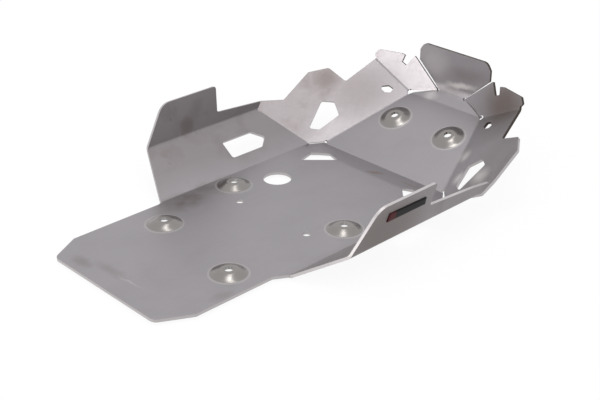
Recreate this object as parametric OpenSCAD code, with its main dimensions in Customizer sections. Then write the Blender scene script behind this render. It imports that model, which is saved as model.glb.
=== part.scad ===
// Motorcycle engine guard: one laser-cut aluminium sheet folded into a shallow tray with side walls,
// a rising front ramp, braced front flanges and a nose plate, and one slim badge stuck to a side wall.
// X runs forward to the nose, Y across and Z up. The origin is on the centre line, under the base, at
// the rear edge of the sheet. The ramp, wings and nose plate are the same on both sides. The side walls
// nearly are: the left one (+Y) is folded a little closer to the centre line. The flanges differ in
// their rear lugs, and the holes in the base have places of their own.

/* [Sheet] */
// Thickness of the aluminium sheet
sheet_t = 3; // [2:0.5:5]
// Inside radius of the sharp press-brake bends
bend_r = 5; // [2:1:8]

/* [Base plate] */
// Half width of the base plate between its rear corner and the side walls
base_half_w = 95.5; // [88:0.5:97]
// Distance from the centre line to the bend at the foot of the left side wall
left_foot_y = 98; // [97.5:0.5:104]
// Distance from the centre line to the bend at the foot of the right side wall
right_foot_y = 105; // [98:0.5:108]
// Length of the rear corner chamfer along the base
tail_chamfer_x = 34; // [20:1:60]
// Distance from the centre line to the start of the rear corner chamfer
tail_flat_y = 77; // [60:1:84]
// Radius that rounds the rear corners
tail_corner_r = 9; // [3:1:14]
// Distance from the rear edge to the line where the base starts to dip
dip_x = 352; // [345:1:358]
// Distance from the rear edge to the crease at the foot of the ramp
ramp_x = 380; // [376:1:386]
// Depth of the dip at the ramp crease
dip_depth = 3; // [1:0.5:6]

/* [Side walls] */
// Distance from the rear edge to the rear corner of the left side wall's foot
left_start_x = 145; // [142:1:155]
// Distance from the rear edge to the rear corner of the right side wall's foot
right_start_x = 140; // [132:1:150]
// Distance from the rear edge to the rear end of the waist bend in the left side wall
left_waist_x = 172; // [164:1:180]
// Distance from the rear edge to the rear end of the waist bend in the right side wall
right_waist_x = 168; // [160:1:180]
// Distance from the rear edge to the front end of each side wall's foot
wall_end_x = 361; // [352:1:364]
// Distance from the rear edge to the front end of the left wall's waist, inside the flange's lug
left_waist_end_x = 333; // [325:1:345]
// Distance from the rear edge to the front end of the right wall's waist
right_waist_end_x = 362; // [350:1:364]
// Lean of the lower side wall above the base
lower_lean = 31.5; // [25:0.5:38]
// Distance from the centre line to the bend between lower and upper wall
waist_y = 153.4; // [148:0.2:158]
// Lean of the upper side wall above the base
upper_lean = 78.5; // [70:0.5:85]
// Height of the upper side wall's ear along its own slope
ear_slope = 43; // [32:1:50]
// Height of the low strip's top edge above the underside of the base, at its rear end
strip_z = 50.2; // [46:0.2:54]
// Distance from the rear edge to the front end of the ear
ear_end_x = 276; // [250:1:290]
// Radius of the ear's rear top corner
ear_corner_r = 20; // [5:1:24]

/* [Front ramp and nose] */
// Distance from the rear edge to the bend at the top of the ramp
ramp_top_x = 488.5; // [480:0.5:494]
// Climb of the ramp above the base
ramp_climb = 22.2; // [18:0.2:26]
// Half width of the ramp at its crease
ramp_foot_half_w = 90; // [86:0.5:94]
// Half width of the ramp at its top
ramp_top_half_w = 53; // [48:0.5:58]
// Length of the short strip between ramp and nose plate, along the base
step_run = 12.5; // [9.5:0.5:19.5]
// Climb of the short strip between ramp and nose plate
step_climb = 37.5; // [30:0.5:45]
// Half width of the sheet at the foot of the nose plate
nose_foot_half_w = 19; // [15:0.5:26]
// Half width of the nose plate at its widest
nose_half_w = 57; // [50:0.5:62]
// Height of the nose plate's top edge above the underside of the base
nose_top_z = 105; // [98:1:120]
// Height of the nose plate's widest place
nose_wide_z = 88; // [80:1:94]

/* [Front flanges] */
// Roll of each front flange about its fold with the ramp, above the ramp's own roll
flange_fold = 27.8; // [22:0.2:32]
// Fold between each front flange and its wing
wing_fold = 43; // [38:0.5:48]
// Height of the flange's peak above its fold
flange_peak = 90; // [84:1:96]
// Depth of the wing's notch
wing_notch = 9; // [4:1:12]

/* [Holes] */
// Bolt hole through each raised boss
bolt_d = 9; // [6:0.5:11]
// Foot diameter of the raised bosses
boss_foot_d = 40; // [34:1:42]
// Diameter of the flat top of the raised bosses
boss_top_d = 15; // [13:0.5:20]
// Height of the raised bosses
boss_h = 5; // [4:0.5:8]
// Oil drain hole
drain_d = 31; // [20:1:36]
// Small plain holes
small_hole_d = 8.8; // [5:0.2:12]

/* [Badge] */
// Length of the badge
badge_l = 54; // [40:1:70]
// Height of the badge
badge_h = 9; // [6:0.5:14]
// Thickness of the badge
badge_t = 1.2; // [1:0.1:3]

/* [Hidden] */
$fn = 48;
// Steps in which each round of an outline or a bend is drawn
round_steps = 6;
// Steps down the flank of a raised boss
flank_steps = 5;
// Straight length that each bend shares with the panels on both sides
lap = 1;
// Bend radii that are wider than the sharp ones
dip_r = 60;
crease_r = 3;
ramp_top_r = 12;
nose_foot_r = 20;
fold_r = 7;

nose_x = ramp_top_x + step_run;
dip_angle = -atan(dip_depth / (ramp_x - dip_x));
crease_z = sheet_t - dip_depth;
ramp_top_z = crease_z + (ramp_top_x - ramp_x) * tan(ramp_climb);
nose_foot_z = ramp_top_z + (nose_x - ramp_top_x) * tan(step_climb);

// Forward shift of the ear's rear edge from the waist to its top
upper_rake = 30;

// Slope length of the lower wall whose foot lies at y
function lower_slope(foot_y) = (waist_y - foot_y) / cos(lower_lean);

// Height of the waist bend above the underside, on the inside
function waist_z(foot_y) = sheet_t + lower_slope(foot_y) * sin(lower_lean);

// The fold between ramp and flange, from the ramp's crease up to its top
fold_run = [ramp_top_x - ramp_x, ramp_top_half_w - ramp_foot_half_w, ramp_top_z - crease_z];
fold_l = norm(fold_run);
fold_turn = atan2(fold_run[1], fold_run[0]);
fold_climb = asin(fold_run[2] / fold_l);
ramp_normal = [-sin(ramp_climb), 0, cos(ramp_climb)];
ramp_roll = acos(ramp_normal * [-sin(fold_climb) * cos(fold_turn), -sin(fold_climb) * sin(fold_turn),
    cos(fold_climb)]);
flange_roll = ramp_roll + flange_fold;

// The fold between flange and wing, in the flange's own plane
wing_foot_u = fold_l - 0.5;
wing_top_u = fold_l - 10;
wing_fold_v = 61;
wing_fold_l = norm([wing_top_u - wing_foot_u, wing_fold_v]);
wing_fold_turn = atan2(wing_fold_v, wing_top_u - wing_foot_u);

// Length left open between two bends that meet at a corner
bend_end_gap = 4;
relief_d = 4;
corner_gap_d = 3;
seam_gap = 0.8;
slot_r = 1.5;
window_r = 3;
// Lower edge, upper edge and front corner of the wall windows, as shares of the lower wall's slope
window_foot = 0.27;
window_head = 0.63;
window_shoulder = 0.44;
// Forward rake of the side walls' front end over the low strip
wall_end_rake = 0.8;
// Place where the low strip's top edge kinks, its drop there from the rear end, and its fall beyond
strip_kink_x = 342;
strip_drop = 5.5;
strip_fall = 0.15;
// Length by which the flange's sheet runs back past its fold, for the longer lug
lug_reach = 50;
// Place of the badge along the guard and up the ear, and the lean of its rear end
badge_x = 210;
badge_s = 23.9;
badge_slant = 2;

// Unit vector of a plane vector
function unit(v) = v / norm(v);

// Turn from angle a to angle b by the shorter way
function turn(a, b) = b - a > 180 ? b - a - 360 : b - a < -180 ? b - a + 360 : b - a;

// Points of the round of radius r at corner p between its neighbours
function corner_arc(before, p, after, r) =
    let (u = unit(before - p), v = unit(after - p), half = acos(u * v) / 2)
    let (centre = p + unit(u + v) * r / sin(half))
    let (from = p + u * r / tan(half) - centre, to = p + v * r / tan(half) - centre)
    let (start = atan2(from[1], from[0]), sweep = turn(start, atan2(to[1], to[0])))
    [for (i = [0:round_steps]) centre + r * [cos(start + sweep * i / round_steps),
        sin(start + sweep * i / round_steps)]];

// Outline whose corners [x, y, r] are rounded by their radius
function rounded(corners) =
    let (n = len(corners), flat = [for (c = corners) [c[0], c[1]]])
    [for (i = [0:n - 1]) each corners[i][2] > 0
        ? corner_arc(flat[(i + n - 1) % n], flat[i], flat[(i + 1) % n], corners[i][2])
        : [flat[i]]];

// Arc of a bend at corner p between slopes a and b, at depth s under the top face
function bend_arc(p, a, b, r, s) =
    let (side = b > a ? 1 : -1, ramp = r * tan(abs(b - a) / 2))
    let (centre = p - ramp * [cos(a), sin(a)] + side * r * [-sin(a), cos(a)])
    [for (i = [0:round_steps]) let (q = a + (b - a) * i / round_steps)
        centre + side * (r + side * s) * [sin(q), -cos(q)]];

// One face of the centre strip seen from the side, at depth s under the top face
function strip_face(s) = concat(
    [[0, sheet_t - s]],
    bend_arc([dip_x, sheet_t], 0, dip_angle, dip_r, s),
    bend_arc([ramp_x, crease_z], dip_angle, ramp_climb, crease_r, s),
    bend_arc([ramp_top_x, ramp_top_z], ramp_climb, step_climb, ramp_top_r, s),
    bend_arc([nose_x, nose_foot_z], step_climb, 90, nose_foot_r, s),
    [[nose_x + s, nose_top_z]]);

// Flat panel under the plane z = 0, drawn in its own plane
module panel(outline) {
    translate([0, 0, -sheet_t])
        linear_extrude(sheet_t)
            polygon(outline);
}

// Cutter for a window or notch in a panel
module panel_cut(outline) {
    translate([0, 0, -2 * sheet_t])
        linear_extrude(4 * sheet_t)
            polygon(outline);
}

// Bend along X from a panel that lies on -Y to one that climbs by the angle a
module bend(length, r, a) {
    reach = r * tan(a / 2);
    inner = concat([[-reach - lap, 0]], bend_arc([0, 0], 0, a, r, 0), [(reach + lap) * [cos(a), sin(a)]]);
    outer = concat([[-reach - lap, -sheet_t]], bend_arc([0, 0], 0, a, r, sheet_t),
        [(reach + lap) * [cos(a), sin(a)] + sheet_t * [sin(a), -cos(a)]]);
    rotate([90, 0, 90])
        linear_extrude(length)
            polygon(concat(inner, [for (i = [len(outer) - 1:-1:0]) outer[i]]));
}

// Both sides of a shape that is drawn on the +Y side
module both_sides() {
    children();
    mirror([0, 1, 0])
        children();
}

// Raised boss with a flat top round its bolt hole, as a revolved sheet on the plane z = 0
module boss() {
    foot = boss_foot_d / 2;
    top = boss_top_d / 2;
    flank = foot - top;
    rim = foot + lap;
    function rise(f) = boss_h * (1 + cos(180 * f)) / 2;
    rotate_extrude()
        polygon(concat(
            [[0, boss_h]],
            [for (i = [0:flank_steps]) [top + flank * i / flank_steps, rise(i / flank_steps)]],
            [[rim, 0], [rim, -sheet_t]],
            [for (i = [flank_steps:-1:0])
                [top - sheet_t / 2 + flank * i / flank_steps, rise(i / flank_steps) - sheet_t]],
            [[0, boss_h - sheet_t]]));
}

// Opening in the plate that a raised boss closes again
module boss_seat() {
    translate([0, 0, -2 * sheet_t])
        cylinder(h = 4 * sheet_t, d = boss_foot_d);
}

module bolt_hole(d) {
    translate([0, 0, -10])
        cylinder(h = 40, d = d);
}

// Places of the bosses in the base, which sit at four different spots
boss_spots = [[118, 57.5], [227, 75], [101, -62.5], [242, -77]];
small_holes = [[206.5, 42], [207.5, -58]];
drain_spot = [272, 54.5];

// Places of the two bosses on the ramp: run up the slope from the crease, and half spacing
ramp_boss_run = 73;
ramp_boss_y = 40;

module at_base_bosses() {
    for (spot = boss_spots)
        translate([spot[0], spot[1], sheet_t])
            children();
}

module at_ramp_bosses() {
    both_sides()
        translate([ramp_x, 0, crease_z])
            rotate([0, -ramp_climb, 0])
                translate([ramp_boss_run, ramp_boss_y, 0])
                    children();
}

// Plan of one side of the base and ramp, from the rear corner forward
function side_plan(start_x, jog_x, foot_y) =
    let (side_y = foot_y - bend_r * tan(lower_lean / 2), inset = fold_r * tan(flange_fold / 2) - lap / 2)
    concat(
        corner_arc([0, 0], [0, tail_flat_y], [tail_chamfer_x, base_half_w], tail_corner_r),
        corner_arc([0, tail_flat_y], [tail_chamfer_x, base_half_w], [jog_x, base_half_w], 6),
        [[jog_x, base_half_w], [start_x, side_y], [wall_end_x + 2, side_y],
            [ramp_x, ramp_foot_half_w + 1], [ramp_x + 3, ramp_foot_half_w - inset],
            [ramp_top_x, ramp_top_half_w - inset], [nose_x + 9, ramp_top_half_w - inset]]);

// Plan of the base and ramp
module strip_plan() {
    left = side_plan(left_start_x, left_start_x - 6, left_foot_y);
    right = side_plan(right_start_x, right_start_x - 14, right_foot_y);
    linear_extrude(nose_top_z + 20)
        polygon(concat(left, [for (i = [len(right) - 1:-1:0]) [right[i][0], -right[i][1]]]));
}

// Front view of the step and nose plate
module nose_front() {
    right = [[ramp_top_half_w, -10, 0], [ramp_top_half_w, ramp_top_z - 1, 0],
        [nose_foot_half_w, nose_foot_z, 1], [nose_half_w, nose_wide_z, 2],
        [nose_half_w - 11, nose_top_z, 9]];
    left = [for (i = [len(right) - 1:-1:0]) [-right[i][0], right[i][1], right[i][2]]];
    rotate([90, 0, 90])
        linear_extrude(nose_x + 20)
            polygon(rounded(concat(right, left)));
}

// Centre strip: base plate, dip, ramp, step and nose plate bent from one profile
module centre_strip() {
    face = strip_face(0);
    back = strip_face(sheet_t);
    intersection() {
        rotate([90, 0, 0])
            linear_extrude(4 * right_foot_y, center = true)
                polygon(concat(face, [for (i = [len(back) - 1:-1:0]) back[i]]));
        translate([0, 0, -10])
            strip_plan();
        union() {
            nose_front();
            translate([-1, -2 * right_foot_y, -10])
                cube([ramp_top_x + 1, 4 * right_foot_y, 3 * nose_top_z]);
        }
    }
}

// Slots across the front corners of the base; the one on the -Y side is shorter
far_slot = [[323, 71.5, slot_r], [353.5, 42, slot_r], [361, 61, slot_r], [345, 77, slot_r]];
near_slot = [[339, -70, slot_r], [353.5, -55.5, slot_r], [360, -67, slot_r], [349, -78, slot_r]];

module corner_slot(outline) {
    translate([0, 0, -5])
        linear_extrude(20)
            polygon(rounded(outline));
}

// One face of a side wall seen from the rear, at depth s under the inside face
function wall_face(foot_y, s) =
    let (z = waist_z(foot_y), top = ear_slope + 2)
    concat(
        [[foot_y - bend_r * tan(lower_lean / 2) - lap, sheet_t - s]],
        bend_arc([foot_y, sheet_t], 0, lower_lean, bend_r, s),
        bend_arc([waist_y, z], lower_lean, upper_lean, bend_r, s),
        [[waist_y, z] + top * [cos(upper_lean), sin(upper_lean)]
            + s * [sin(upper_lean), -cos(upper_lean)]]);

// Frames of the lower and upper wall on the +Y side: X forward, Y up the slope
module in_lower_wall(foot_y) {
    translate([0, foot_y, sheet_t])
        rotate([lower_lean, 0, 0])
            children();
}

module in_upper_wall(foot_y) {
    translate([0, waist_y, waist_z(foot_y)])
        rotate([upper_lean, 0, 0])
            children();
}

// Side wall on the +Y side, bent from one profile: rear ear, square drop and low strip
module side_wall(foot_y, start_x, waist_x, waist_end_x) {
    face = wall_face(foot_y, 0);
    back = wall_face(foot_y, sheet_t);
    slope = lower_slope(foot_y);
    rake = (waist_x - start_x) / slope;
    strip = (strip_z - waist_z(foot_y)) / sin(upper_lean);
    ear_top = ear_slope + 8;
    reach = max(wall_end_x, waist_end_x + wall_end_rake * strip) + 5;
    difference() {
        translate([start_x, 0, 0])
            rotate([90, 0, 90])
                linear_extrude(reach - start_x)
                    polygon(concat(face, [for (i = [len(back) - 1:-1:0]) back[i]]));
        in_lower_wall(foot_y) {
            panel_cut([[start_x - 30, -8], [start_x - 8 * rake, -8],
                [start_x + (slope + 8) * rake, slope + 8], [start_x - 30, slope + 8]]);
            panel_cut(rounded([[259, window_foot * slope, window_r], [303.5, window_foot * slope, window_r],
                [316, window_shoulder * slope, window_r], [303, window_head * slope, window_r],
                [260, window_head * slope, window_r]]));
            panel_cut([[wall_end_x, -12], [wall_end_x, 2], [waist_end_x, slope], [waist_end_x, slope + 1],
                [reach + 5, slope + 1], [reach + 5, -12]]);
        }
        in_upper_wall(foot_y) {
            panel_cut([[waist_end_x - 2 * wall_end_rake, -2],
                [waist_end_x + ear_top * wall_end_rake, ear_top], [reach + 5 + ear_top, ear_top],
                [reach + 5, -2]]);
            panel_cut(rounded([[start_x - 10, -1, 0], [waist_x - upper_rake / ear_slope, -1, 0],
                [waist_x + upper_rake, ear_slope, ear_corner_r], [ear_end_x + 2, ear_slope, 3],
                [ear_end_x - 2, strip, 2], [strip_kink_x, strip - strip_drop, 6],
                [reach + 5, strip - strip_drop - strip_fall * (reach + 5 - strip_kink_x), 0],
                [reach + 5, ear_top + 1, 0], [start_x - 10, ear_top + 1, 0]]));
        }
    }
}

// Frame of the +Y flange: origin at the crease end of its fold, X up the fold
module in_flange_plane() {
    translate([ramp_x, ramp_foot_half_w, crease_z])
        rotate([0, 0, fold_turn])
            rotate([0, -fold_climb, 0])
                children();
}

// One face of a front flange seen along its fold, at depth s under the inside face
function flange_face(s) = concat(
    [[-fold_r * tan(flange_fold / 2) - lap, -s]],
    bend_arc([0, 0], 0, flange_fold, fold_r, s),
    [(flange_peak + 5) * [cos(flange_fold), sin(flange_fold)]
        + s * [sin(flange_fold), -cos(flange_fold)]]);

// Rear edge of each flange, from its low corner up, with the lug that lies outside the side wall.
// The left flange has the longer lug
left_lug = [[-17.5, 11.5, 1], [-46.5, 76, 2], [-34, 88.5, 1], [-9.5, 74.5, 2]];
right_lug = [[-15.5, 11.5, 1], [-22.5, 65.5, 2], [-6.5, 75, 2]];

// Front flange on the +Y side, bent up from the ramp, with its two windows
module flange(lug) {
    face = flange_face(0);
    back = flange_face(sheet_t);
    foot = fold_r * tan(flange_fold / 2) + lap / 2;
    front = bend_r * tan(wing_fold / 2);
    in_flange_plane()
        difference() {
            intersection() {
                rotate([ramp_roll, 0, 0])
                    translate([-lug_reach, 0, 0])
                        rotate([90, 0, 90])
                            linear_extrude(fold_l + lug_reach + 5)
                                polygon(concat(face, [for (i = [len(back) - 1:-1:0]) back[i]]));
                rotate([flange_roll, 0, 0])
                    translate([0, 0, -4 * sheet_t])
                        linear_extrude(8 * sheet_t)
                            polygon(rounded(concat([[0.5, foot, 0]], lug, [
                                [35, flange_peak, 4], [59, 81.5, 4], [66, 55, 3],
                                [wing_top_u - front, wing_fold_v, 0], [wing_foot_u - front, foot, 0],
                                [fold_l - bend_end_gap, foot, 0], [fold_l - bend_end_gap, -15, 0],
                                [bend_end_gap, -15, 0], [bend_end_gap, foot, 0]])));
            }
            rotate([flange_roll, 0, 0]) {
                panel_cut(rounded([[-5, 26, window_r], [5, 17.8, window_r], [35, 21.3, window_r],
                    [39.7, 39.3, window_r], [27.5, 48.7, window_r]]));
                panel_cut(rounded([[96, 23, 1], [99, 26, 1], [106.5, 22, 1], [108.5, 15.5, 1],
                    [102.5, 13, 1], [97, 17, 1]]));
            }
        }
}

// Wing folded inward from the front edge of the flange, with its notch
module wing() {
    foot = bend_r * tan(wing_fold / 2);
    in_flange_plane()
        rotate([flange_roll, 0, 0])
            translate([wing_foot_u, 0, 0])
                rotate([0, 0, wing_fold_turn])
                    mirror([0, 1, 0]) {
                        translate([bend_end_gap, 0, 0])
                            bend(wing_fold_l - bend_end_gap, bend_r, wing_fold);
                        rotate([wing_fold, 0, 0])
                            panel(rounded([[2, foot, 0], [wing_fold_l, foot, 0],
                                [wing_fold_l + 4.5, 4, 2], [wing_fold_l + 3.5, 12, 3], [39, 28, 3],
                                [34, 29.5, 1], [32, 29.5 - wing_notch, 1],
                                [25, 30 - wing_notch, 1], [23.5, 37, 0.5],
                                [21.5, 37.5 - seam_gap, 0.5], [-25.5, 26.4 - seam_gap, 0.5]]));
                    }
}

// Small relief holes where the folds end
module relief_holes() {
    in_flange_plane()
        for (place = [3, fold_l])
            translate([place, 0, -10])
                cylinder(h = 20, d = relief_d);
    translate([nose_x - 15, nose_foot_half_w + 0.5, nose_foot_z])
        rotate([0, 90, 0])
            cylinder(h = 30, d = corner_gap_d);
}

// Centre strip with its bosses set in
module bossed_strip() {
    difference() {
        centre_strip();
        at_base_bosses()
            boss_seat();
        at_ramp_bosses()
            boss_seat();
    }
    at_base_bosses()
        boss();
    at_ramp_bosses()
        boss();
}

module guard_sheet() color("#a09ca0") {
    difference() {
        union() {
            bossed_strip();
            side_wall(left_foot_y, left_start_x, left_waist_x, left_waist_end_x);
            flange(left_lug);
            mirror([0, 1, 0]) {
                side_wall(right_foot_y, right_start_x, right_waist_x, right_waist_end_x);
                flange(right_lug);
            }
            both_sides()
                wing();
        }
        at_base_bosses()
            bolt_hole(bolt_d);
        at_ramp_bosses()
            bolt_hole(bolt_d);
        translate([drain_spot[0], drain_spot[1], 0])
            bolt_hole(drain_d);
        for (spot = small_holes)
            translate([spot[0], spot[1], 0])
                bolt_hole(small_hole_d);
        corner_slot(far_slot);
        corner_slot(near_slot);
        both_sides()
            relief_holes();
    }
}

// Plain slanted badge on the outside of the right ear
module badge() color("#1c1a1b") {
    mirror([0, 1, 0])
        in_upper_wall(right_foot_y)
            translate([badge_x, badge_s, -sheet_t - badge_t])
                linear_extrude(badge_t)
                    polygon(rounded([[0, 0, 1], [badge_l, 0, 1],
                        [badge_l, badge_h - badge_slant / 2, 1], [badge_slant, badge_h, 1]]));
}

guard_sheet();
badge();
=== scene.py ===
"""Looks of a motorcycle engine guard folded from one aluminium sheet, with a slim badge on its right ear.

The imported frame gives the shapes. This script turns the sheet's mesh into a clean skin with softened cut
edges, lays a crowned badge over the badge solid, dresses both, and sets the floor, lamps and camera.
"""

import logging  # noqa: E402
import math  # noqa: E402
from dataclasses import dataclass, field  # noqa: E402
from enum import Enum  # noqa: E402
from typing import Any  # noqa: E402

import bmesh  # noqa: E402
import bpy  # noqa: E402
import numpy as np  # noqa: E402
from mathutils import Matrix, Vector  # noqa: E402
from mathutils.bvhtree import BVHTree  # noqa: E402


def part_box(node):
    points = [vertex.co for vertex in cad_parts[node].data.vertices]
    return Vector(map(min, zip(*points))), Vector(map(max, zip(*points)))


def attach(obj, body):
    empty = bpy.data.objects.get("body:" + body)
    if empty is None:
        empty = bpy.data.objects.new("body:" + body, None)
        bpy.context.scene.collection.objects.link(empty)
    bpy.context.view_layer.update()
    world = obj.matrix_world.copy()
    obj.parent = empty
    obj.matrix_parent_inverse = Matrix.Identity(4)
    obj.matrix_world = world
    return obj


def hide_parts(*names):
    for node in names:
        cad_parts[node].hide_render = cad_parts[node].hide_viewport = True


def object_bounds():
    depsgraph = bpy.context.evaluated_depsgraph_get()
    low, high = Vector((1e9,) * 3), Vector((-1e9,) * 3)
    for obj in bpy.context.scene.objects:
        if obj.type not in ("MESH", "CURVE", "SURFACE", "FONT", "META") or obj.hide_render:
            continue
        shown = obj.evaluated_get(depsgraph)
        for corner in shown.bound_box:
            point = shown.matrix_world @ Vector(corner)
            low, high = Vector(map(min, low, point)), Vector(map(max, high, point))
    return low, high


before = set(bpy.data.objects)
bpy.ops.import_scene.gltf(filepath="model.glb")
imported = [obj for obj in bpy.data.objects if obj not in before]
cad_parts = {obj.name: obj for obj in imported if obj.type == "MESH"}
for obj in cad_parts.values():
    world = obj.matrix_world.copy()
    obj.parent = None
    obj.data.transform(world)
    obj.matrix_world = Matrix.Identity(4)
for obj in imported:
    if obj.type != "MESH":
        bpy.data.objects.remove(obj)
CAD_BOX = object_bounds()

LOG = logging.getLogger("guard")
MM = 0.001


class Side(Enum):
    """Which side of a sheet a face lies on, with the number of its material."""

    BROAD = 0
    CUT = 1


class Mark(Enum):
    """What a soft mark on the sheet is made of, or the painted shade or painted highlight that it stands for.
    """

    # Brown film, and also painted shade in the crease at the left wall's foot, on the flanges, on the right
    # ear and under the nose plate's highlight
    FILM_AND_SHADE = "brown film left by hands and oil"
    STAIN = "rust-brown water stain"
    # Mostly painted highlights and painted light; only the thin scuff at the rear of the base is rubbed metal
    RUB_AND_HIGHLIGHT = "bright rubbed metal"


@dataclass(frozen=True)
class Spot:
    """One soft oval mark on the sheet, with its radii along its own axes and its turn about X, Y and Z."""

    mark: Mark
    place_mm: tuple[float, float, float]
    radii_mm: tuple[float, float, float]
    share: float
    turn_deg: tuple[float, float, float] = (0.0, 0.0, 0.0)


SPOTS = (
    # The tall slanting smudge inside the left ear, and the specks behind it and under it
    Spot(Mark.FILM_AND_SHADE, (229.0, 156.0, 47.0), (20.0, 30.0, 26.0), 0.6, (0.0, 38.0, 0.0)),
    Spot(Mark.FILM_AND_SHADE, (244.0, 159.0, 61.0), (22.0, 30.0, 40.0), 0.42, (0.0, 38.0, 0.0)),
    Spot(Mark.FILM_AND_SHADE, (208.0, 158.0, 60.0), (6.0, 9.0, 8.0), 0.45),
    Spot(Mark.FILM_AND_SHADE, (185.0, 132.0, 24.0), (5.0, 6.0, 6.0), 0.4),
    Spot(Mark.FILM_AND_SHADE, (215.0, 132.0, 24.0), (9.0, 6.0, 5.0), 0.2),
    # Painted shade in the crease along the foot of the left wall, and dirt beside the right edge and at the
    # rear of the base
    Spot(Mark.FILM_AND_SHADE, (166.0, 84.0, 0.0), (50.0, 30.0, 9.0), 0.62),
    Spot(Mark.FILM_AND_SHADE, (204.0, 88.0, 0.0), (60.0, 26.0, 9.0), 0.42),
    Spot(Mark.FILM_AND_SHADE, (70.0, -88.0, 3.0), (20.0, 10.0, 8.0), 0.2),
    Spot(Mark.FILM_AND_SHADE, (14.0, 52.0, 3.0), (12.0, 22.0, 6.0), 0.3),
    Spot(Mark.FILM_AND_SHADE, (24.0, 20.0, 3.0), (10.0, 34.0, 6.0), 0.22),
    # Painted shade on the left flange's top, the right flange's front, its wing and the right ear
    Spot(Mark.FILM_AND_SHADE, (428.0, 136.0, 54.0), (40.0, 34.0, 34.0), 0.56),
    Spot(Mark.FILM_AND_SHADE, (446.0, 100.0, 44.0), (80.0, 60.0, 50.0), 0.32),
    Spot(Mark.FILM_AND_SHADE, (476.0, -104.0, 58.0), (56.0, 56.0, 56.0), 0.42),
    Spot(Mark.FILM_AND_SHADE, (488.0, -84.0, 68.0), (52.0, 58.0, 52.0), 0.74),
    Spot(Mark.FILM_AND_SHADE, (210.0, -158.0, 48.0), (120.0, 40.0, 70.0), 0.62),
    # A band of brown film across the middle of the nose plate, and a band of painted shade just under its
    # painted highlight
    Spot(Mark.FILM_AND_SHADE, (503.0, -20.0, 82.0), (12.0, 52.0, 16.0), 0.34, (-9.0, 0.0, 0.0)),
    Spot(Mark.FILM_AND_SHADE, (503.0, 0.0, 57.0), (12.0, 44.0, 9.0), 0.34, (-9.0, 0.0, 0.0)),
    # Dried water along the dip and the crease
    Spot(Mark.STAIN, (361.0, -9.0, 2.5), (4.0, 16.0, 5.0), 0.55, (0.0, 0.0, 37.0)),
    Spot(Mark.STAIN, (367.0, -54.0, 1.5), (3.5, 16.0, 5.0), 0.35, (0.0, 0.0, 8.0)),
    # Painted highlights on the right flange, its fold and its lug
    Spot(Mark.RUB_AND_HIGHLIGHT, (430.0, -80.0, 24.0), (16.0, 11.0, 10.0), 0.75),
    Spot(Mark.RUB_AND_HIGHLIGHT, (398.0, -98.0, 14.0), (15.0, 10.0, 10.0), 0.75),
    Spot(Mark.RUB_AND_HIGHLIGHT, (392.0, -128.0, 30.0), (18.0, 22.0, 14.0), 0.6),
    # Painted highlights on the step and along the nose plate's lower bend, painted light on the nose plate's
    # upper far corner, and the thin scuff at the rear of the base
    Spot(Mark.RUB_AND_HIGHLIGHT, (493.0, 26.5, 47.5), (12.0, 14.0, 9.0), 0.45),
    Spot(Mark.RUB_AND_HIGHLIGHT, (501.0, -10.0, 67.0), (12.0, 34.0, 6.0), 0.95, (-9.0, 0.0, 0.0)),
    Spot(Mark.RUB_AND_HIGHLIGHT, (501.0, 30.0, 86.0), (14.0, 34.0, 26.0), 0.3),
    Spot(Mark.RUB_AND_HIGHLIGHT, (25.0, -10.0, 3.0), (1.6, 26.0, 5.0), 0.2, (0.0, 0.0, 3.0)),
)


@dataclass(frozen=True)
class Lamp:
    """One soft lamp: its place, its width and length in metres, and its power in watts."""

    name: str
    place: tuple[float, float, float]
    size: tuple[float, float]
    power: float


LAMPS = (
    Lamp("overhead softbox", (0.02, -0.15, 1.5), (0.55, 0.55), 2.2),
    # Long and nearly overhead, so that each burnished dome carries one bright streak
    Lamp("strip light over the domes", (0.344, 0.094, 1.5), (0.26, 1.0), 2.3),
    # Low beside the guard, where the left wing mirrors it nearly white
    Lamp("left softbox", (-1.5, 0.6, 0.22), (0.5, 0.5), 10.5),
)


def linear(hex_colour: str) -> tuple[float, float, float, float]:
    """Turns an sRGB hex colour into the linear colour that a shader socket takes.

    Args:
        hex_colour: Six hex digits after a hash sign.

    Returns:
        Linear red, green, blue and an alpha of one.
    """
    channels = [int(hex_colour[i : i + 2], 16) / 255 for i in (1, 3, 5)]
    red, green, blue = (c / 12.92 if c <= 0.04045 else ((c + 0.055) / 1.055) ** 2.4 for c in channels)
    return (red, green, blue, 1.0)


def per_mm(size_mm: float) -> float:
    """Noise scale per metre at which one blotch of the pattern is about size_mm wide."""
    return 1.0 / (size_mm * MM)


def add_node(
    tree: bpy.types.NodeTree,
    kind: str,
    settings: dict[str, Any] | None = None,
    links: dict[str | int, Any] | None = None,
) -> bpy.types.Node:
    """Adds one node with its settings and links.

    By number, a Map Range takes its value as 0, the range it reads as 1 and 2 and the range it gives as 3
    and 4. A Mix takes its share as 0, its two numbers as 2 and 3 and its two colours as 6 and 7.

    Args:
        tree: The node tree that takes the node.
        kind: Blender's type name of the node.
        settings: Attributes to set on the node.
        links: Input sockets by name or number, each with a value or with the output socket that feeds it.

    Returns:
        The new node.
    """
    node = tree.nodes.new(kind)
    for name, value in (settings or {}).items():
        setattr(node, name, value)
    for socket, value in (links or {}).items():
        if isinstance(value, bpy.types.NodeSocket):
            tree.links.new(value, node.inputs[socket])
        else:
            node.inputs[socket].default_value = value
    return node


def new_material(name: str) -> tuple[bpy.types.Material, bpy.types.NodeTree]:
    """Makes an empty node material.

    Args:
        name: The material's name.

    Returns:
        The material and its cleared node tree.
    """
    material = bpy.data.materials.new(name)
    material.use_nodes = True
    material.node_tree.nodes.clear()
    return material, material.node_tree


def read_rows(items: bpy.types.bpy_prop_collection, attribute: str, width: int, kind: type) -> np.ndarray:
    """Reads one attribute of a mesh's vertices, triangles or faces.

    Args:
        items: The vertices, triangles or faces.
        attribute: The attribute's name.
        width: How many numbers each item holds.
        kind: The numbers' type.

    Returns:
        One row of numbers per item.
    """
    values = np.empty(len(items) * width, kind)
    items.foreach_get(attribute, values)
    return values.reshape(-1, width)


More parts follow.
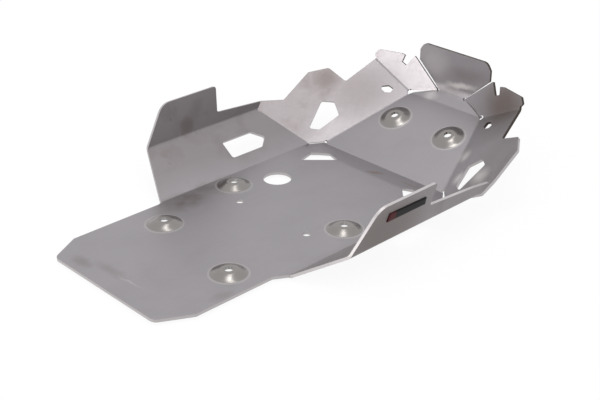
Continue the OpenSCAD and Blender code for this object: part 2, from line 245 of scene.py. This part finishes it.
@dataclass(frozen=True)
class SatinSheet:
    """Satin-rolled aluminium sheet, pressed into domes and handled.

    The eye gets a soft grey with slow clouds and faint streaks along the rolling, a blurred mirror of what
    stands round it, brown film where hands and oil touched it, painted shade on the walls, in the crease at
    the left wall's foot, on the flanges, on the right ear and under the nose plate's highlight, painted
    highlights on the right flange, the step and the nose plate, painted light on the nose plate's upper
    corner, a light ring painted round each boss as a highlight, and domes that mirror more sharply.
    """

    name: str = "satin rolled aluminium"
    plain: str = "#a09ca0"
    cloudy: str = "#989598"
    # The smudge colour is brown film, and also painted shade on the walls, in the crease at the left wall's
    # foot, on the flanges and the right ear
    smudge_and_shade: str = "#62564f"
    stain: str = "#8a6a52"
    # The rub colour is mostly painted highlight and painted light; only the scuff at the rear of the base is
    # rubbed
    rub_and_highlight: str = "#d6d2d1"
    # The ring colour is a painted highlight round the foot of each boss
    ring: str = "#b9b5b5"
    dome: str = "#8d8a88"
    cloud_mm: float = 70.0
    smudge_mm: float = 32.0
    # Swirls of this size push the marks' rims in and out by up to half the warp
    swirl_mm: float = 14.0
    warp_mm: float = 9.0
    # Rolling marks are about 0.1 mm wide, too fine to show, so grain and streaks are drawn at these widths
    grain_mm: float = 1.2
    streak_mm: float = 2.0
    streak_run_mm: float = 90.0
    # The painted shade on the walls, and the blotches of film, grow between these distances from the centre
    # line, where the walls begin
    wall_foot_mm: tuple[float, float] = (95.0, 125.0)
    painted_wall_shade: float = 0.27
    base_blotch: float = 0.05
    wall_blotch: float = 0.18
    ring_half_mm: float = 1.6
    ring_share: float = 0.55
    dome_fade_mm: float = 2.5
    roughness: float = 0.42
    streak_swing: float = 0.1
    film_and_shade_dulling: float = 0.12
    burnished: float = 0.25
    bump: float = 0.06
    bump_mm: float = 0.2

    def spots(
        self, tree: bpy.types.NodeTree, uneven: bpy.types.NodeSocket, mark: Mark
    ) -> bpy.types.NodeSocket:
        """Adds the soft oval marks of one kind.

        Args:
            tree: The material's node tree.
            uneven: Object coordinates, warped so that the marks have uneven rims.
            mark: The kind of mark.

        Returns:
            Share of the mark's colour at each point.
        """
        share: bpy.types.NodeSocket | float = 0.0
        for spot in (s for s in SPOTS if s.mark is mark):
            centred = add_node(
                tree,
                "ShaderNodeMapping",
                {"vector_type": "TEXTURE"},
                {
                    "Vector": uneven,
                    "Location": Vector(spot.place_mm) * MM,
                    "Rotation": [math.radians(turn) for turn in spot.turn_deg],
                    "Scale": Vector(spot.radii_mm) * MM,
                },
            )
            away = add_node(tree, "ShaderNodeVectorMath", {"operation": "LENGTH"}, {0: centred.outputs[0]})
            here = add_node(
                tree,
                "ShaderNodeMapRange",
                {"interpolation_type": "SMOOTHSTEP"},
                {0: away.outputs["Value"], 1: 0.1, 2: 1.0, 3: spot.share, 4: 0.0},
            )
            share = add_node(
                tree, "ShaderNodeMath", {"operation": "MAXIMUM"}, {0: share, 1: here.outputs[0]}
            ).outputs[0]
        return share

    def film_and_shade(
        self, tree: bpy.types.NodeTree, place: bpy.types.NodeSocket, uneven: bpy.types.NodeSocket
    ) -> bpy.types.NodeSocket:
        """Adds brown film and painted shade: shade over the walls, faint film blotches, and both in the
        ovals.

        Args:
            tree: The material's node tree.
            place: Object coordinates.
            uneven: Object coordinates, warped by noise.

        Returns:
            Share of the colour of film and painted shade at each point.
        """
        axes = add_node(tree, "ShaderNodeSeparateXYZ", links={0: place})
        off_centre = add_node(
            tree, "ShaderNodeMath", {"operation": "ABSOLUTE"}, {0: axes.outputs["Y"]}
        ).outputs[0]
        start, end = (distance * MM for distance in self.wall_foot_mm)
        # Painted shade: an even share of the film colour all over the walls
        on_walls = add_node(
            tree, "ShaderNodeMapRange", links={0: off_centre, 1: start, 2: end, 3: 0.0, 4: self.painted_wall_shade}
        )
        blotches = add_node(
            tree,
            "ShaderNodeTexNoise",
            links={"Vector": place, "Scale": per_mm(self.smudge_mm), "Detail": 4.0, "Roughness": 0.55},
        )
        blotch = add_node(
            tree, "ShaderNodeMapRange", links={0: blotches.outputs["Fac"], 1: 0.5, 2: 0.72, 3: 0.0, 4: 1.0}
        )
        most = add_node(
            tree,
            "ShaderNodeMapRange",
            links={0: off_centre, 1: start, 2: end, 3: self.base_blotch, 4: self.wall_blotch},
        )
        thin = add_node(
            tree,
            "ShaderNodeMath",
            {"operation": "MULTIPLY_ADD"},
            {0: blotch.outputs[0], 1: most.outputs[0], 2: on_walls.outputs[0]},
        )
        ovals = self.spots(tree, uneven, Mark.FILM_AND_SHADE)
        return add_node(
            tree, "ShaderNodeMath", {"operation": "MAXIMUM"}, {0: thin.outputs[0], 1: ovals}
        ).outputs[0]

    def boss_distance(
        self, tree: bpy.types.NodeTree, place: bpy.types.NodeSocket, bosses: list[Vector]
    ) -> bpy.types.NodeSocket:
        """Adds the distance to the nearest boss.

        Args:
            tree: The material's node tree.
            place: Object coordinates.
            bosses: Centre of each boss, in metres.

        Returns:
            Distance to the nearest centre, in metres, and no more than one metre.
        """
        nearest: bpy.types.NodeSocket | float = 1.0
        for centre in bosses:
            away = add_node(
                tree, "ShaderNodeVectorMath", {"operation": "DISTANCE"}, {0: place, 1: centre}
            ).outputs["Value"]
            nearest = add_node(
                tree, "ShaderNodeMath", {"operation": "MINIMUM"}, {0: nearest, 1: away}
            ).outputs[0]
        return nearest

    def build(self, bosses: list[Vector], ring_radius: float) -> bpy.types.Material:
        """Builds the sheet's material on Object coordinates.

        Args:
            bosses: Centre of each raised boss on the sheet's face, in metres.
            ring_radius: Radius of the press ring round each boss, in metres.

        Returns:
            The material.
        """
        material, tree = new_material(self.name)
        place = add_node(tree, "ShaderNodeTexCoord").outputs["Object"]
        swirl = add_node(
            tree, "ShaderNodeTexNoise", links={"Vector": place, "Scale": per_mm(self.swirl_mm), "Detail": 3.0}
        )
        warp = self.warp_mm * MM
        push = add_node(
            tree,
            "ShaderNodeVectorMath",
            {"operation": "MULTIPLY_ADD"},
            {0: swirl.outputs["Color"], 1: (warp,) * 3, 2: (-warp / 2,) * 3},
        )
        uneven = add_node(
            tree, "ShaderNodeVectorMath", {"operation": "ADD"}, {0: place, 1: push.outputs[0]}
        ).outputs[0]
        film_and_shade = self.film_and_shade(tree, place, uneven)

        # Press rings: a light ring painted round the foot of each boss, a painted highlight
        nearest = self.boss_distance(tree, place, bosses)
        off_ring = add_node(tree, "ShaderNodeMath", {"operation": "SUBTRACT"}, {0: nearest, 1: ring_radius})
        off_ring = add_node(tree, "ShaderNodeMath", {"operation": "ABSOLUTE"}, {0: off_ring.outputs[0]})
        on_ring = add_node(
            tree,
            "ShaderNodeMapRange",
            {"interpolation_type": "SMOOTHSTEP"},
            {0: off_ring.outputs[0], 1: 0.0, 2: self.ring_half_mm * MM, 3: self.ring_share, 4: 0.0},
        )
        # Pressed domes: stretching in the press tool burnishes them, so they mirror more sharply
        on_dome = add_node(
            tree,
            "ShaderNodeMapRange",
            {"interpolation_type": "SMOOTHSTEP"},
            {0: nearest, 1: ring_radius - self.dome_fade_mm * MM, 2: ring_radius, 3: 1.0, 4: 0.0},
        )

        clouds = add_node(
            tree, "ShaderNodeTexNoise", links={"Vector": place, "Scale": per_mm(self.cloud_mm), "Detail": 3.0}
        )
        colour = add_node(
            tree,
            "ShaderNodeMix",
            {"data_type": "RGBA"},
            {0: clouds.outputs["Fac"], 6: linear(self.plain), 7: linear(self.cloudy)},
        )
        # The film coat also carries painted shade, the rub coat painted highlights and painted light, and the
        # ring coat a painted highlight
        coats = (
            (film_and_shade, self.smudge_and_shade),
            (self.spots(tree, uneven, Mark.STAIN), self.stain),
            (self.spots(tree, uneven, Mark.RUB_AND_HIGHLIGHT), self.rub_and_highlight),
            (on_ring.outputs[0], self.ring),
            (on_dome.outputs[0], self.dome),
        )
        for share, coat in coats:
            colour = add_node(
                tree,
                "ShaderNodeMix",
                {"data_type": "RGBA"},
                {0: share, 6: colour.outputs[2], 7: linear(coat)},
            )

        grain = add_node(
            tree, "ShaderNodeTexNoise", links={"Vector": place, "Scale": per_mm(self.grain_mm), "Detail": 2.0}
        )
        streak = per_mm(self.streak_mm)
        stretched = add_node(
            tree,
            "ShaderNodeMapping",
            links={"Vector": place, "Scale": (per_mm(self.streak_run_mm), streak, streak)},
        )
        streaks = add_node(
            tree, "ShaderNodeTexNoise", links={"Vector": stretched.outputs[0], "Scale": 1.0, "Detail": 2.0}
        )
        sheen = add_node(
            tree,
            "ShaderNodeMath",
            {"operation": "MULTIPLY_ADD"},
            {0: streaks.outputs["Fac"], 1: self.streak_swing, 2: self.roughness - self.streak_swing / 2},
        )
        # The sheet is rougher under the film and the painted shade alike
        dulled = add_node(
            tree,
            "ShaderNodeMath",
            {"operation": "MULTIPLY_ADD"},
            {0: film_and_shade, 1: self.film_and_shade_dulling, 2: sheen.outputs[0]},
        )
        gloss = add_node(
            tree,
            "ShaderNodeMix",
            {"data_type": "FLOAT"},
            {0: on_dome.outputs[0], 2: dulled.outputs[0], 3: self.burnished},
        )
        height = add_node(
            tree, "ShaderNodeMath", {"operation": "ADD"}, {0: grain.outputs["Fac"], 1: streaks.outputs["Fac"]}
        )
        bump = add_node(
            tree,
            "ShaderNodeBump",
            links={"Strength": self.bump, "Distance": self.bump_mm * MM, "Height": height.outputs[0]},
        )
        shader = add_node(
            tree,
            "ShaderNodeBsdfPrincipled",
            links={
                "Base Color": colour.outputs[2],
                "Metallic": 1.0,
                "Roughness": gloss.outputs[0],
                "Normal": bump.outputs[0],
            },
        )
        add_node(tree, "ShaderNodeOutputMaterial", links={"Surface": shader.outputs[0]})
        return material


@dataclass(frozen=True)
class CutEdge:
    """Laser-cut aluminium edge.

    The eye gets a thin matt line with fine ribs across the sheet's thickness: a painted highlight, brighter
    than the face, along the right ear, dulled by handling elsewhere, and painted shade, nearly black, at the
    front.
    """

    name: str = "laser cut aluminium edge"
    # The bright tones are a painted highlight on the edges along the right ear
    bright: str = "#d0cccd"
    bright_dull: str = "#b5b1b2"
    grimy: str = "#b8b4b5"
    front_shade: str = "#4a423d"
    # The ribs of a laser cut are about 0.2 mm apart, too fine to show, so they are drawn at this width
    rib_mm: float = 1.0
    patch_mm: float = 25.0
    # Places between which one tone gives way to the next: across the guard, then along it
    right_ear_mm: tuple[float, float] = (-140.0, -118.0)
    ear_front_mm: tuple[float, float] = (320.0, 345.0)
    past_ear_share: float = 0.3
    front_shade_mm: tuple[float, float] = (432.0, 445.0)
    roughness: float = 0.5
    bump: float = 0.15
    bump_mm: float = 0.2

    def build(self) -> bpy.types.Material:
        """Builds the cut edge's material on Object coordinates.

        Returns:
            The material.
        """
        material, tree = new_material(self.name)
        place = add_node(tree, "ShaderNodeTexCoord").outputs["Object"]
        axes = add_node(tree, "ShaderNodeSeparateXYZ", links={0: place})
        ribs = add_node(
            tree, "ShaderNodeTexNoise", links={"Vector": place, "Scale": per_mm(self.rib_mm), "Detail": 2.0}
        )
        patches = add_node(
            tree, "ShaderNodeTexNoise", links={"Vector": place, "Scale": per_mm(self.patch_mm), "Detail": 2.0}
        )
        ear_tone = add_node(
            tree,
            "ShaderNodeMix",
            {"data_type": "RGBA"},
            {0: patches.outputs["Fac"], 6: linear(self.bright), 7: linear(self.bright_dull)},
        )
        # Painted highlight on the edges along the right ear, fading past its front
        first, last = self.right_ear_mm
        on_right = add_node(
            tree,
            "ShaderNodeMapRange",
            links={0: axes.outputs["Y"], 1: first * MM, 2: last * MM, 3: 1.0, 4: 0.0},
        )
        first, last = self.ear_front_mm
        before_front = add_node(
            tree,
            "ShaderNodeMapRange",
            links={0: axes.outputs["X"], 1: first * MM, 2: last * MM, 3: 1.0, 4: self.past_ear_share},
        )
        on_ear = add_node(
            tree,
            "ShaderNodeMath",
            {"operation": "MULTIPLY"},
            {0: on_right.outputs[0], 1: before_front.outputs[0]},
        )
        # Painted shade: the edges at the front turn nearly black
        first, last = self.front_shade_mm
        at_front = add_node(
            tree,
            "ShaderNodeMapRange",
            links={0: axes.outputs["X"], 1: first * MM, 2: last * MM, 3: 0.0, 4: 1.0},
        )
        dulled = add_node(
            tree,
            "ShaderNodeMix",
            {"data_type": "RGBA"},
            {0: at_front.outputs[0], 6: linear(self.grimy), 7: linear(self.front_shade)},
        )
        colour = add_node(
            tree,
            "ShaderNodeMix",
            {"data_type": "RGBA"},
            {0: on_ear.outputs[0], 6: dulled.outputs[2], 7: ear_tone.outputs[2]},
        )
        bump = add_node(
            tree,
            "ShaderNodeBump",
            links={"Strength": self.bump, "Distance": self.bump_mm * MM, "Height": ribs.outputs["Fac"]},
        )
        shader = add_node(
            tree,
            "ShaderNodeBsdfPrincipled",
            links={
                "Base Color": colour.outputs[2],
                "Metallic": 1.0,
                "Roughness": self.roughness,
                "Normal": bump.outputs[0],
            },
        )
        add_node(tree, "ShaderNodeOutputMaterial", links={"Surface": shader.outputs[0]})
        return material


@dataclass(frozen=True)
class DomedLabel:
    """Printed polyester label under a clear resin dome, dulled by wear.

    The eye gets a near black strip with a faint speckle of ink, a dark red rear end and little shine.
    """

    name: str = "resin domed printed label"
    black: str = "#0d0c0c"
    worn_black: str = "#191616"
    red: str = "#431318"
    # Ink dots are about 0.1 mm wide, too fine to show, so the speckle is drawn at this width
    speckle_mm: float = 1.5
    print_edge_mm: float = 0.3
    roughness: float = 0.5
    ior: float = 1.5
    specular: float = 0.15

    def build(self, red_end_x: float) -> bpy.types.Material:
        """Builds the label's material on Object coordinates.

        Args:
            red_end_x: Place along the guard where the red rear end stops, in metres.

        Returns:
            The material.
        """
        material, tree = new_material(self.name)
        place = add_node(tree, "ShaderNodeTexCoord").outputs["Object"]
        axes = add_node(tree, "ShaderNodeSeparateXYZ", links={0: place})
        speckle = add_node(
            tree,
            "ShaderNodeTexNoise",
            links={"Vector": place, "Scale": per_mm(self.speckle_mm), "Detail": 2.0},
        )
        ink = add_node(
            tree,
            "ShaderNodeMix",
            {"data_type": "RGBA"},
            {0: speckle.outputs["Fac"], 6: linear(self.black), 7: linear(self.worn_black)},
        )
        edge = self.print_edge_mm * MM
        red_share = add_node(
            tree,
            "ShaderNodeMapRange",
            links={0: axes.outputs["X"], 1: red_end_x - edge, 2: red_end_x + edge, 3: 1.0, 4: 0.0},
        )
        colour = add_node(
            tree,
            "ShaderNodeMix",
            {"data_type": "RGBA"},
            {0: red_share.outputs[0], 6: ink.outputs[2], 7: linear(self.red)},
        )
        shader = add_node(
            tree,
            "ShaderNodeBsdfPrincipled",
            links={
                "Base Color": colour.outputs[2],
                "Roughness": self.roughness,
                "IOR": self.ior,
                "Specular IOR Level": self.specular,
            },
        )
        add_node(tree, "ShaderNodeOutputMaterial", links={"Surface": shader.outputs[0]})
        return material


@dataclass
class FoldedSheet:
    """The folded sheet's skin: the sheet's own mesh, made of whole flat faces with softened edges."""

    finish: SatinSheet = field(default_factory=SatinSheet)
    edge_finish: CutEdge = field(default_factory=CutEdge)
    sheet: float = 3.0 * MM
    edge_round: float = 0.25 * MM
    weld: float = 0.001 * MM
    flat_deg: float = 0.4
    sharp_deg: float = 28.0
    rounded_deg: float = 50.0
    # The metal behind a broad face is at most this many sheets deep
    broad_depth: float = 2.3
    boss_ring: float = 19.6 * MM
    base_bosses: tuple[tuple[float, float], ...] = (
        (0.118, 0.0575),
        (0.227, 0.075),
        (0.101, -0.0625),
        (0.242, -0.077),
    )
    ramp_bosses: tuple[tuple[float, float, float], ...] = (
        (0.4476, 0.040, 0.0276),
        (0.4476, -0.040, 0.0276),
    )

    def build(self) -> bpy.types.Object:
        """Copies the sheet's mesh, joins its triangles into flat faces and rounds its edges.

        Returns:
            The skin object, which stands for the sheet's node.
        """
        shape = bmesh.new()
        shape.from_mesh(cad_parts["guard_sheet"].data)
        bmesh.ops.remove_doubles(shape, verts=shape.verts, dist=self.weld)
        bmesh.ops.dissolve_limit(
            shape,
            angle_limit=math.radians(self.flat_deg),
            verts=shape.verts,
            edges=shape.edges,
            delimit=set(),
        )
        mesh = bpy.data.meshes.new("folded_sheet")
        shape.to_mesh(mesh)
        shape.free()
        if "custom_normal" in mesh.attributes:
            mesh.attributes.remove(mesh.attributes["custom_normal"])
        mesh.polygons.foreach_set("material_index", self.sides(mesh))
        mesh.polygons.foreach_set("use_smooth", np.ones(len(mesh.polygons), bool))
        mesh.set_sharp_from_angle(angle=math.radians(self.sharp_deg))
        skin = bpy.data.objects.new("folded_sheet", mesh)
        bpy.context.scene.collection.objects.link(skin)
        bevel = skin.modifiers.new("edge round", "BEVEL")
        bevel.width = self.edge_round
        bevel.segments = 2
        bevel.limit_method = "ANGLE"
        bevel.angle_limit = math.radians(self.rounded_deg)
        bevel.harden_normals = False
        weigh = skin.modifiers.new("flat faces lead", "WEIGHTED_NORMAL")
        weigh.keep_sharp = True
        weigh.weight = 100
        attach(skin, "root")
        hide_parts("guard_sheet")
        return skin

    def sides(self, mesh: bpy.types.Mesh) -> np.ndarray:
        """Tells the cut edges from the broad faces by how much metal lies straight behind each face.

        A ray goes into the metal from the middle of each face's largest triangle, against its normal, to
        the far side. Behind a broad face that is one or two sheets away, and behind a cut edge far more.

        Args:
            mesh: The sheet's mesh.

        Returns:
            One material number per face.
        """
        mesh.calc_loop_triangles()
        corners = read_rows(mesh.vertices, "co", 3, float)
        picks = read_rows(mesh.loop_triangles, "vertices", 3, np.int32)
        owners = read_rows(mesh.loop_triangles, "polygon_index", 1, np.int32)[:, 0]
        flat = corners[picks]
        normals = np.cross(flat[:, 1] - flat[:, 0], flat[:, 2] - flat[:, 0])
        sizes = np.linalg.norm(normals, axis=1)
        order = np.argsort(sizes)
        largest = np.zeros(len(mesh.polygons), np.int32)
        largest[owners[order]] = order
        centres = flat.mean(axis=1)[largest]
        normals = normals[largest] / np.maximum(sizes[largest], 1e-15)[:, None]
        tree = BVHTree.FromPolygons(corners.tolist(), picks.tolist())
        depths = [
            tree.ray_cast(Vector(centre - 0.01 * MM * normal), Vector(-normal))[3] or 1.0
            for centre, normal in zip(centres, normals, strict=True)
        ]
        deep = np.array(depths) > self.broad_depth * self.sheet
        return np.where(deep, Side.CUT.value, Side.BROAD.value)

    def dress(self, skin: bpy.types.Object) -> None:
        """Gives the skin its satin face and its cut edge, in the order of the sides' numbers.

        Args:
            skin: The skin object.
        """
        bosses = [Vector((x, y, self.sheet)) for x, y in self.base_bosses]
        bosses += [Vector(centre) for centre in self.ramp_bosses]
        skin.data.materials.append(self.finish.build(bosses, self.boss_ring))
        skin.data.materials.append(self.edge_finish.build())


@dataclass
class Badge:
    """The slim badge: a slanted strip with a crowned face, stuck to the outside of the right ear."""

    finish: DomedLabel = field(default_factory=DomedLabel)
    across: int = 48
    up: int = 14
    crown: float = 0.35 * MM
    slant: float = 2.0 * MM
    droop: float = 1.0 * MM
    sharp_deg: float = 35.0
    red_share: float = 0.2

    def build(self) -> bpy.types.Object:
        """Builds the badge as one closed strip between the badge solid's own corners.

        A grid of u along and v up, both from -1 to 1, spans the solid's length and height. Its top rear
        corner moves forward by the slant and its top front corner down by the droop, and every other point
        moves by its share of each. The face stands at the solid's full thickness less a fall towards the
        rim, which is the crown times the larger of u to the 40th and v to the 8th. The back is flat, and
        one band of faces closes the rim.

        Returns:
            The badge object, which stands for the badge node.
        """
        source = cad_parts["badge"].data
        points = read_rows(source.vertices, "co", 3, float)
        normals = read_rows(source.polygons, "normal", 3, float)
        areas = read_rows(source.polygons, "area", 1, float)[:, 0]
        faces_out = normals[:, 1] < -0.5
        outward = normals[faces_out][np.argmax(areas[faces_out])]
        along = np.array([1.0, 0.0, 0.0])
        upward = np.cross(along, outward)
        upward *= np.sign(upward[2]) / np.linalg.norm(upward)
        centre = points.mean(axis=0)
        local = (points - centre) @ np.stack([along, upward, outward]).T
        low, high = local.min(axis=0), local.max(axis=0)
        middle, half = (low + high) / 2, (high - low) / 2

        u, v = np.meshgrid(np.linspace(-1, 1, self.across), np.linspace(-1, 1, self.up), indexing="ij")
        height_share = (v + 1) / 2
        x = middle[0] + u * half[0] + self.slant * height_share * (1 - u) / 2
        y = middle[1] + v * half[1] - self.droop * height_share * (1 + u) / 2
        fall = self.crown * np.maximum(np.abs(u) ** 40, np.abs(v) ** 8)
        flat = centre + x[..., None] * along + y[..., None] * upward
        face = flat + (high[2] - fall)[..., None] * outward
        back = flat + low[2] * outward
        vertices = np.concatenate([face.reshape(-1, 3), back.reshape(-1, 3)])

        size = self.across * self.up
        index = np.arange(size).reshape(self.across, self.up)
        quads = np.stack([index[:-1, :-1], index[1:, :-1], index[1:, 1:], index[:-1, 1:]], -1)
        quads = quads.reshape(-1, 4)
        rim = np.concatenate([index[:, 0], index[-1, 1:], index[-2::-1, -1], index[0, -2::-1]])[:-1]
        after = np.roll(rim, -1)
        walls = np.stack([rim, rim + size, after + size, after], -1)
        faces = np.concatenate([quads, quads[:, ::-1] + size, walls])
        mesh = bpy.data.meshes.new("domed_badge")
        mesh.from_pydata(vertices.tolist(), [], faces.tolist())
        shape = bmesh.new()
        shape.from_mesh(mesh)
        bmesh.ops.recalc_face_normals(shape, faces=shape.faces)
        shape.to_mesh(mesh)
        shape.free()
        mesh.polygons.foreach_set("use_smooth", np.ones(len(mesh.polygons), bool))
        mesh.set_sharp_from_angle(angle=math.radians(self.sharp_deg))
        badge = bpy.data.objects.new("domed_badge", mesh)
        bpy.context.scene.collection.objects.link(badge)
        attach(badge, "root")
        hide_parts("badge")
        return badge

    def dress(self, badge: bpy.types.Object) -> None:
        """Gives the badge its printed finish.

        Args:
            badge: The badge object.
        """
        low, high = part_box("badge")
        badge.data.materials.append(self.finish.build(low.x + self.red_share * (high.x - low.x)))


@dataclass
class Studio:
    """Plain pale floor, soft lamps, a white surround and the camera."""

    floor_half: float = 6.0
    floor_paint: str = "#f6f6f6"
    floor_glow: float = 0.92
    white: str = "#ffffff"
    surround_fill: float = 1.0
    lamp_tint: tuple[float, float, float] = (1.0, 0.972, 0.945)
    eye: tuple[float, float, float] = (-0.5083, -0.7928, 0.5700)
    aim: tuple[float, float, float] = (0.2541, 0.0, 0.0030)
    # The photograph's focal length and width in pixels give the lens for a 36 mm sensor
    focal_px: float = 1170.0
    frame_px: float = 600.0
    sensor_mm: float = 36.0

    def seen(self, tree: bpy.types.NodeTree) -> bpy.types.NodeSocket:
        """Adds the test for a ray that only shows a surface: straight, mirrored or through glass.

        Args:
            tree: The node tree of the floor or of the world.

        Returns:
            One where the ray comes from the camera, a gloss or a transmission, and zero where it lights.
        """
        path = add_node(tree, "ShaderNodeLightPath")
        mirrored = add_node(
            tree,
            "ShaderNodeMath",
            {"operation": "MAXIMUM"},
            {0: path.outputs["Is Glossy Ray"], 1: path.outputs["Is Transmission Ray"]},
        )
        return add_node(
            tree,
            "ShaderNodeMath",
            {"operation": "MAXIMUM"},
            {0: path.outputs["Is Camera Ray"], 1: mirrored.outputs[0]},
        ).outputs[0]

    def floor(self, level: float) -> None:
        """Lays the pale floor, whose matt paint glows evenly where it is seen and keeps the shadow.

        Args:
            level: Height of the floor, in metres.
        """
        half = self.floor_half
        mesh = bpy.data.meshes.new("floor")
        mesh.from_pydata(
            [(-half, -half, level), (half, -half, level), (half, half, level), (-half, half, level)],
            [],
            [(0, 1, 2, 3)],
        )
        floor = bpy.data.objects.new("floor", mesh)
        bpy.context.scene.collection.objects.link(floor)
        material, tree = new_material("matt pale floor paint")
        paint = add_node(
            tree, "ShaderNodeBsdfDiffuse", links={"Color": linear(self.floor_paint), "Roughness": 0.5}
        )
        glow = add_node(tree, "ShaderNodeEmission", links={"Color": linear(self.white), "Strength": 1.0})
        glow_share = add_node(
            tree, "ShaderNodeMath", {"operation": "MULTIPLY"}, {0: self.seen(tree), 1: self.floor_glow}
        )
        shader = add_node(
            tree,
            "ShaderNodeMixShader",
            links={0: glow_share.outputs[0], 1: paint.outputs[0], 2: glow.outputs[0]},
        )
        add_node(tree, "ShaderNodeOutputMaterial", links={"Surface": shader.outputs[0]})
        mesh.materials.append(material)

    def surround(self) -> None:
        """Makes the world: white where it is seen or mirrored, and a soft fill where it lights."""
        world = bpy.data.worlds.new("white surround")
        bpy.context.scene.world = world
        world.use_nodes = True
        tree = world.node_tree
        tree.nodes.clear()
        white = linear(self.white)
        shown = add_node(tree, "ShaderNodeBackground", links={"Color": white, "Strength": 1.0})
        fill = add_node(tree, "ShaderNodeBackground", links={"Color": white, "Strength": self.surround_fill})
        mix = add_node(
            tree, "ShaderNodeMixShader", links={0: self.seen(tree), 1: fill.outputs[0], 2: shown.outputs[0]}
        )
        add_node(tree, "ShaderNodeOutputWorld", links={"Surface": mix.outputs[0]})

    def hang(self, lamp: Lamp) -> None:
        """Hangs one soft lamp that faces the guard.

        Args:
            lamp: The lamp's place, size and power.
        """
        data = bpy.data.lights.new(lamp.name, "AREA")
        data.shape = "RECTANGLE"
        data.size, data.size_y = lamp.size
        data.energy = lamp.power
        data.color = self.lamp_tint
        light = bpy.data.objects.new(lamp.name, data)
        light.location = lamp.place
        light.rotation_mode = "QUATERNION"
        light.rotation_quaternion = (Vector(self.aim) - Vector(lamp.place)).to_track_quat("-Z", "Y")
        bpy.context.scene.collection.objects.link(light)

    def camera(self) -> None:
        """Sets the camera at the photograph's viewing angle."""
        data = bpy.data.cameras.new("camera")
        data.sensor_width = self.sensor_mm
        data.sensor_fit = "HORIZONTAL"
        data.lens = self.focal_px / self.frame_px * self.sensor_mm
        data.clip_start, data.clip_end = 0.05, 50.0
        camera = bpy.data.objects.new("camera", data)
        camera.location = self.eye
        camera.rotation_mode = "QUATERNION"
        camera.rotation_quaternion = (Vector(self.aim) - Vector(self.eye)).to_track_quat("-Z", "Y")
        bpy.context.scene.collection.objects.link(camera)
        bpy.context.scene.camera = camera

    def build(self, level: float) -> None:
        """Sets the whole studio.

        Args:
            level: Height of the floor, in metres.
        """
        self.floor(level)
        self.surround()
        for lamp in LAMPS:
            self.hang(lamp)
        self.camera()
        bpy.context.scene.view_settings.view_transform = "Standard"


def main() -> None:
    """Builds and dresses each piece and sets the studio."""
    logging.basicConfig(level=logging.INFO, format="%(name)s: %(message)s")
    sheet = FoldedSheet()
    skin = sheet.build()
    sheet.dress(skin)
    LOG.info("folded sheet: %d faces", len(skin.data.polygons))
    badge = Badge()
    label = badge.build()
    badge.dress(label)
    LOG.info("badge: %d faces", len(label.data.polygons))
    Studio().build(CAD_BOX[0].z)


if __name__ == "__main__":
    main()
